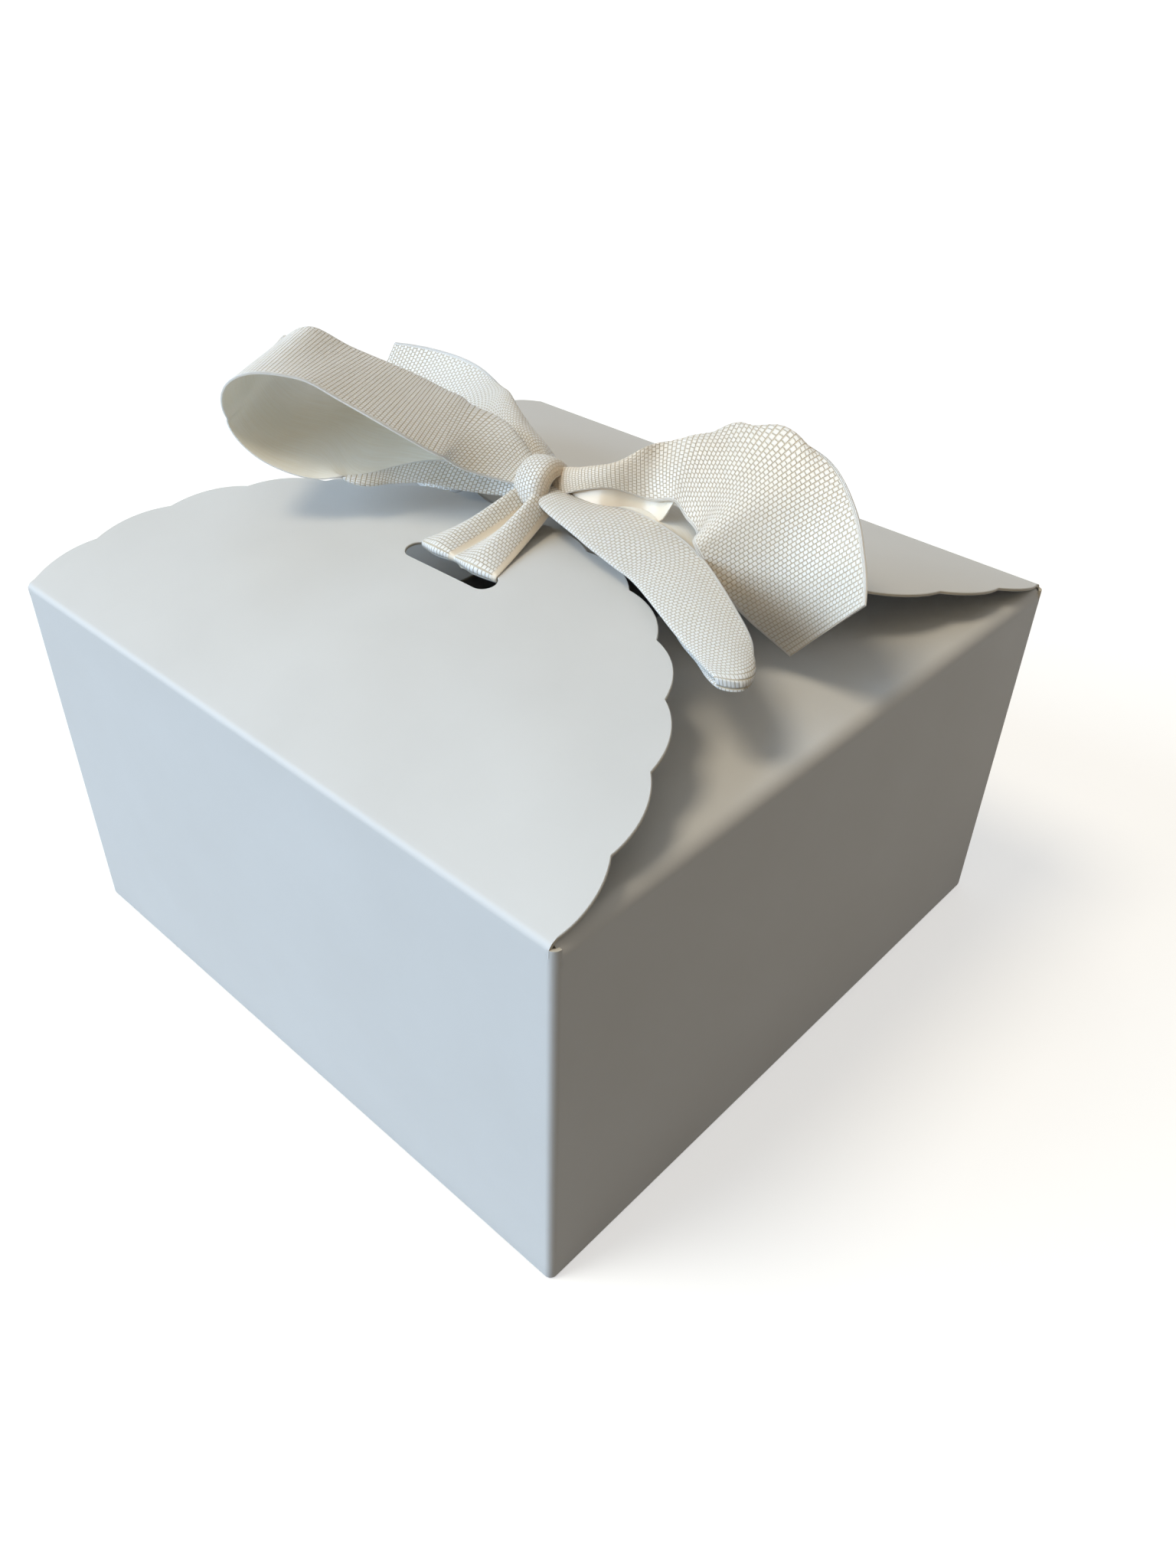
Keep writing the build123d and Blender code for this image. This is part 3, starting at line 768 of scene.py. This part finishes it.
# Right loop: folded along its length, low and flat towards the front right
lowSide = (-0.3, -0.93, -0.12)
lengthFold = [(-0.5, 0), (-0.25, -0.35), (0, -0.5), (0.28, -0.35), (0.47, 0), (0.4, 0.4), (0.14, 0.62),
              (-0.12, 0.65), (-0.4, 0.55)]
tuckedEdges = [(-0.2, -0.9), (-0.45, -0.8), (-0.5, -0.2), (-0.25, 0), (0, 0.1), (0.25, 0), (0.5, -0.2),
               (0.45, -0.8), (0.2, -0.9)]
rightLoop = {"seed": 7, "places": [
    (place, lowSide, share, foldedSection(ribbonLook["width"] * share, lengthFold)) for place, share in (
        ((1.4, -1.2, -0.3), 0.22), ((6.6, -2.6, -0.7), 0.27), ((15.1, -2.5, -1), 0.48),
        ((21.7, -3.1, -1.6), 0.53), ((28.6, -4.9, -2.3), 0.5), ((40.4, -11.4, -3.1), 0.42),
        ((46.6, -15, -3.5), 0.34), ((50.2, -17.2, -3.9), 0.27), ((51, -17.7, -4.6), 0.24),
        ((49.4, -16.4, -5.2), 0.28), ((44.8, -12.9, -5.6), 0.34), ((36.6, -7.6, -5.3), 0.38))
] + [
    (place, lowSide, share, foldedSection(ribbonLook["width"] * share, tuckedEdges)) for place, share in (
        ((28, -1.6, -3.6), 0.44), ((20, 3, -1), 0.46), ((10.4, 2.6, 0), 0.36), ((2, 0.4, -0.6), 0.26))
]}

# Left tail: its far edge curls back near the knot, and it opens flat to the cut end
tailSide = (0, 0.75, 0.66)


def curledBack(width, curl):
    return foldedSection(width, [(-0.5, 0.6), (-0.38, -0.3), (-0.25, 0.3), (-0.08, -0.2), (0.08, -0.2),
                                 (0.25, -0.5), (0.42, -0.4), (0.52, 0.35 * curl), (0.5, curl)])


leftTail = {"seed": 12, "places": [
    ((-3, 1.9, -0.4), tailSide, 0.2), ((-9, 3.6, 0), tailSide, 0.4, curledBack(8.8, 4.4)),
    ((-16, 4.4, -0.6), tailSide, 0.62, curledBack(14, 3.4)),
    ((-25, 6.8, -2.4), tailSide, 0.92, curledBack(20.4, 0.9)), ((-36, 10.5, -2.2), tailSide, 1),
    ((-45, 11, -2.3), tailSide, 1), ((-52.5, 9.5, -2.8), tailSide, 1),
]}

# Right tail: folded like a tent at the knot, opening to a flat end that hangs over
tent = {"ridgeHeight": 0.5, "fallSlope": 0.5, "fallMost": 0.7, "backSlope": 0.3}
# Painted shade: the whole right tail is warmed and darkened for the light it faces, more near the knot on its
# folded side.
tailShade = {"all": 0.42, "fold": 0.6, "foldSide": 0.05}


def tentSection(panel, ridge, drop):
    made = []
    for k in range(panels + 1):
        share = k / panels
        if share <= ridge:
            made.append((panel * (share / ridge - 0.5), tent["ridgeHeight"] * math.sin(math.pi * share / ridge)))
            continue
        beyond = (share - ridge) * ribbonLook["width"]
        fall = panel + drop
        a = panel / 2 - (beyond if beyond < fall else 2 * fall - beyond)
        sink = min(tent["fallSlope"] * beyond, tent["fallMost"])
        made.append((a, -sink - max(0.0, beyond - fall) * tent["backSlope"]))
    return made


# Painted warm shade on the right tail, stronger on the folded side where it is gathered.
def tailPaintedShade(tightness, side):
    folded = (side > tailShade["foldSide"])[None]
    return tailShade["all"] + tightness + tailShade["fold"] * tightness * folded


rightTail = {"seed": 21, "places": [
    ((1.4, 0.6, 0.6), (0.1, 0.4, 0.9), 0.2, tentSection(4.4, 0.5, 2.5)),
    ((7.5, 1.2, 3.2), (0.1, 0.4, 0.9), 0.2, tentSection(3.8, 0.46, 3)),
    ((11.5, 2.4, 4.4), (0.1, 0.4, 0.9), 0.24, tentSection(4.2, 0.46, 4.8)),
    ((16, 5.7, 5), (0.14, 0.58, 0.8), 0.35, tentSection(8, 0.5, 3)),
    ((20.4, 7.3, 6.8), (0.12, 0.68, 0.7), 0.5, tentSection(11.4, 0.58, 0)),
    ((24.8, 8.2, 7.2), (0.22, 0.73, 0.68), 0.74, tentSection(16, 0.74, 0)),
    ((29.6, 8.2, 7.3), (0.38, 0.66, 0.65), 0.9, tentSection(19.8, 0.9, 0)),
    ((34.4, 7, 5.8), (0.54, 0.62, 0.56), 0.97, tentSection(21.6, 0.985, 0)),
    ((40, 5.5, 1.6), (0.65, 0.37, 0.66), 1), ((44.5, 4.5, -2.4), (0.68, 0.05, 0.73), 1),
    ((49, 3.9, -6.9), (0.62, -0.29, 0.73), 1),
]}

finishRibbon(ribbonStrip("ribbonLeftLoop", leftLoop["places"], 1, seed=leftLoop["seed"]),
             "ribbon_left_loop")
finishRibbon(ribbonStrip("ribbonRightLoop", rightLoop["places"], -1, seed=rightLoop["seed"], tipRound=1.6),
             "ribbon_right_loop")
finishRibbon(ribbonStrip("ribbonLeftTail", leftTail["places"], -1, seed=leftTail["seed"]),
             "ribbon_left_tail")
finishRibbon(ribbonStrip("ribbonRightTail", rightTail["places"], 1, seed=rightTail["seed"], endSkew=-0.7,
                         paintedShadeRule=tailPaintedShade),
             "ribbon_right_tail")

# Knot: the ribbon wrapped once round the loops, bunched to a band with a crease at its right
knot = {
    "middle": -0.3, "depth": 3.2, "height": 3.5, "width": 5.8, "sink": 0.4, "seed": 9, "step": 0.3,
    "parts": 16, "begin": -95, "sweep": 350, "lean": 0.05, "share": 0.3,
    # The band gets painted warm shade where it is gathered, and a strong painted warm shade in its crease.
    "bandGatherShade": 0.3, "creaseShade": 0.9, "creaseSide": 0.42, "creaseWidth": 0.18,
}
knotBand = [(0.3, -0.9), (-0.2, -1), (-0.5, -0.8), (-0.43, 0.5), (-0.08, 0.95), (0.32, 0.7), (0.5, -0.9),
            (0.2, -1.3), (-0.3, -1.3)]


# Painted warm shade, strongest in the crease at the band's right.
def knotPaintedShade(tightness, side):
    crease = np.exp(-((side - knot["creaseSide"]) / knot["creaseWidth"]) ** 2)[None]
    return tightness * knot["bandGatherShade"] + knot["creaseShade"] * crease


knotPlaces = []
for k in range(knot["parts"] + 1):
    turn = math.radians(knot["begin"] + knot["sweep"] * k / knot["parts"])
    knotPlaces.append(((knot["middle"], knot["depth"] * math.cos(turn), knot["height"] * math.sin(turn)),
                       (1, knot["lean"] * math.sin(turn), 0), knot["share"],
                       foldedSection(knot["width"], knotBand)))
finishRibbon(ribbonStrip("ribbonKnot", knotPlaces, 1, seed=knot["seed"], step=knot["step"], paintedShadeRule=knotPaintedShade,
                         weaveTurned=True, lift=(0, 0, knotHeight - knot["sink"])),
             "ribbon_knot")

# Strands from the knot through the slots, and the run beneath that joins them
strand = {
    "knotWidth": 7.4, "slotWidth": 15.8, "offset": 0.85, "lipOffset": 0.52, "foot": 2.7, "pleat": 0.5,
    "seed": 15, "step": 0.35, "parts": 6, "lipParts": 6, "runDrop": 1.0,
    "foldHeight": 3.0, "foldFall": 2.2, "lipHeight": 0.6, "lipFall": 0.3,
    # The strand gets painted warm shade overall, more where it is gathered and in its furrow and far edge.
    "furrow": (-0.2, 0.0), "farEdge": 0.84, "paintedShade": 0.12, "gatherShade": 0.5, "furrowShade": 0.5,
}
lipReach = carton["slotReach"] + carton["slotWidth"] / 2
strandFolds = [(-0.5, 0), (-0.42, 0.5), (-0.3, 0.95), (-0.16, 0.45), (-0.05, -0.15), (0.06, 0.45), (0.2, 1.05),
               (0.38, 0.6), (0.5, 0)]


def strandSection(width, height, turns):
    way = 1 if turns == 0 else -1  # the back strand's normal points into the box
    return [(a * width, n * height * way) for a, n in strandFolds]


def inFurrow(side):
    low, high = strand["furrow"]
    return ((side > low) & (side < high)) | (side > strand["farEdge"])


def strandWeave(way, side):
    return (1 if inFurrow(side) else 0, 1)


# Painted warm shade on the strand, heavier in the furrow and at the far edge.
def strandPaintedShade(tightness, side):
    return strand["paintedShade"] + strand["gatherShade"] * tightness + strand["furrowShade"] * inFurrow(side)[None]


def strandPlaces(rise, turns):
    turn = math.radians(rise)
    radius = carton["flapRadius"] / turn
    slope = math.asin(math.sin(turn) - (axisOffset - strand["foot"]) / radius)
    knotReach = radius * (turn - slope)
    rest = archPlace(0, knotReach, strand["offset"], rise)[2]
    up = knotHeight - strand["foot"] - rest
    places = []
    for k in range(strand["parts"]):
        share = k / strand["parts"]
        offset = strand["offset"] + (strand["lipOffset"] - strand["offset"]) * share
        p = archPlace(0, knotReach + (lipReach - knotReach) * share, offset, rise)
        width = strand["knotWidth"] + (strand["slotWidth"] - strand["knotWidth"]) * share
        places.append((quarterTurn((p[0], p[1], p[2] + up * (1 - share) ** 2), turns), (1, 0, 0),
                       width / ribbonLook["width"],
                       strandSection(width, strand["foldHeight"] - strand["foldFall"] * share, turns)))
    lip = archPlace(0, lipReach, 0, rise)
    slope = turn - lipReach / radius
    for k in range(strand["lipParts"] + 1):
        bend = slope + math.pi / 2 + math.pi * k / strand["lipParts"]
        height = strand["lipHeight"] - strand["lipFall"] * k / strand["lipParts"]
        p = (0, lip[1] + strand["lipOffset"] * math.cos(bend), lip[2] + strand["lipOffset"] * math.sin(bend))
        places.append((quarterTurn(p, turns), (1, 0, 0), strand["slotWidth"] / ribbonLook["width"],
                       strandSection(strand["slotWidth"], height, turns)))
    return places


frontPlaces = strandPlaces(carton["frontRise"], 0)
backPlaces = strandPlaces(carton["backRise"], 2)
strandArgs = {"pleat": strand["pleat"], "seed": strand["seed"], "step": strand["step"], "lift": (0, 0, 0)}
finishRibbon(ribbonStrip("ribbonFrontStrand", frontPlaces, 1, wovenRule=strandWeave, paintedShadeRule=strandPaintedShade,
                         **strandArgs),
             "ribbon_front_strand")
backStrand = finishRibbon(ribbonStrip("ribbonBackStrand", backPlaces, -1, **strandArgs),
                          "ribbon_back_strand")
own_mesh(backStrand)
frontEnd, backEnd = np.array(frontPlaces[-1][0]), np.array(backPlaces[-1][0])
low = min(frontEnd[2], backEnd[2]) - strand["runDrop"]
slotShare = strand["slotWidth"] / ribbonLook["width"]
runPlaces = [(tuple(frontEnd), (1, 0, 0), slotShare), ((0, frontEnd[1] / 2, low), (1, 0, 0), slotShare),
             ((0, backEnd[1] / 2, low), (1, 0, 0), slotShare), (tuple(backEnd), (1, 0, 0), slotShare)]
underRun = finishRibbon(ribbonStrip("ribbonUnderRun", runPlaces, -1, **strandArgs),
                        "ribbon_under_run")
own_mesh(underRun)
print("ribbon made")

# Stage: pale floor, warm light from above, cool window light from the front left, room light that grows upwards
stageLook = {
    "floor": (0.62, 0.62, 0.62), "floorBounce": (0.1, 0.09, 0.078), "floorGlow": 0.55, "floorRough": 0.9,
    "floorHalf": 6, "floorDrop": 0.0002, "roomTurn": 0.7,
    "roomCool": (0.78, 0.90, 1.0), "roomWarm": (1.0, 0.84, 0.62), "roomLow": 0.05, "roomHigh": 0.5,
    "topFrom": (-0.30, -0.42, 1.0), "topStrength": 1.2, "topColour": (1.0, 0.88, 0.68), "topSoft": 20,
    "windowFrom": (-0.72, -1.0, 0.30), "windowStrength": 3.85, "windowColour": (0.57, 0.77, 1.0),
    "windowSoft": 52,
}
floorMesh = bpy.data.meshes.new("floor")
floorMesh.from_pydata([(x * stageLook["floorHalf"], y * stageLook["floorHalf"], -stageLook["floorDrop"])
                       for x, y in ((-1, -1), (1, -1), (1, 1), (-1, 1))], [], [(0, 1, 2, 3)])
floor = bpy.data.objects.new("floor", floorMesh)
bpy.context.scene.collection.objects.link(floor)
floorFinish, floorTree, floorShader = newMaterial("paleFloor")


def seenRays(tree):
    path = addNode(tree, "LightPath").outputs
    mirrored = mathNode(tree, "MAXIMUM", path["Is Glossy Ray"], path["Is Transmission Ray"])
    return mathNode(tree, "MAXIMUM", path["Is Camera Ray"], mirrored)


floorSeen = seenRays(floorTree)
floorColour = mixColour(floorTree, floorSeen, stageLook["floorBounce"], stageLook["floor"])
floorTree.links.new(floorColour, floorShader.inputs["Base Color"])
floorShader.inputs["Roughness"].default_value = stageLook["floorRough"]
floorShader.inputs["Emission Color"].default_value = (1, 1, 1, 1)
floorTree.links.new(mathNode(floorTree, "MULTIPLY", floorSeen, stageLook["floorGlow"]),
                    floorShader.inputs["Emission Strength"])
floorMesh.materials.append(floorFinish)

world = bpy.data.worlds.new("softRoom")
bpy.context.scene.world = world
world.use_nodes = True
worldTree = world.node_tree
background = worldTree.nodes["Background"]
worldSide = addNode(worldTree, "SeparateXYZ")
worldTree.links.new(addNode(worldTree, "TexCoord").outputs["Generated"], worldSide.inputs[0])
leftness = addNode(worldTree, "MapRange")
leftness.inputs["From Min"].default_value = -stageLook["roomTurn"]
leftness.inputs["From Max"].default_value = stageLook["roomTurn"]
worldTree.links.new(mathNode(worldTree, "SUBTRACT", worldSide.outputs["Y"], worldSide.outputs["X"]),
                    leftness.inputs["Value"])
roomColour = mixColour(worldTree, leftness.outputs["Result"], stageLook["roomWarm"], stageLook["roomCool"])
roomSeen = seenRays(worldTree)
roomColour = mixColour(worldTree, roomSeen, roomColour, (1.0, 1.0, 1.0))
worldTree.links.new(roomColour, background.inputs["Color"])
roomHeight = addNode(worldTree, "MapRange")
roomHeight.inputs["To Min"].default_value = stageLook["roomLow"]
roomHeight.inputs["To Max"].default_value = stageLook["roomHigh"]
worldTree.links.new(worldSide.outputs["Z"], roomHeight.inputs["Value"])
strength = addNode(worldTree, "MapRange")
worldTree.links.new(roomHeight.outputs["Result"], strength.inputs["To Min"])
worldTree.links.new(roomSeen, strength.inputs["Value"])
worldTree.links.new(strength.outputs["Result"], background.inputs["Strength"])


def addSun(name, cameFrom, power, colour, softness):
    data = bpy.data.lights.new(name, "SUN")
    data.energy, data.color, data.angle = power, colour, math.radians(softness)
    lamp = bpy.data.objects.new(name, data)
    lamp.rotation_mode = "QUATERNION"
    lamp.rotation_quaternion = (-Vector(cameFrom)).to_track_quat("-Z", "Y")
    bpy.context.scene.collection.objects.link(lamp)


for lampName in ("top", "window"):
    addSun(lampName + "Lamp", *(stageLook[lampName + part] for part in ("From", "Strength", "Colour", "Soft")))

# Camera, from the photograph's perspective
cameraLook = {
    "place": (120.330, -123.886, 158.026), "lens": 27.867, "sensor": 36.0, "clip": 0.005,
    "right": (0.7351038, 0.6774911, 0.0250629), "down": (0.4283908, -0.4355324, -0.7917025),
    "forward": (-0.5254557, 0.5927202, -0.6103925),
}
cameraData = bpy.data.cameras.new("camera")
cameraData.lens, cameraData.sensor_width = cameraLook["lens"], cameraLook["sensor"]
cameraData.sensor_fit, cameraData.clip_start = "AUTO", cameraLook["clip"]
camera = bpy.data.objects.new("camera", cameraData)
columns = [Vector(cameraLook["right"]), -Vector(cameraLook["down"]), -Vector(cameraLook["forward"])]
turnMatrix = Matrix(columns).transposed().to_4x4()
camera.matrix_world = Matrix.Translation(Vector(cameraLook["place"]) * mm) @ turnMatrix
bpy.context.scene.collection.objects.link(camera)
bpy.context.scene.camera = camera
bpy.context.scene.view_settings.view_transform = "Standard"
print("stage set")
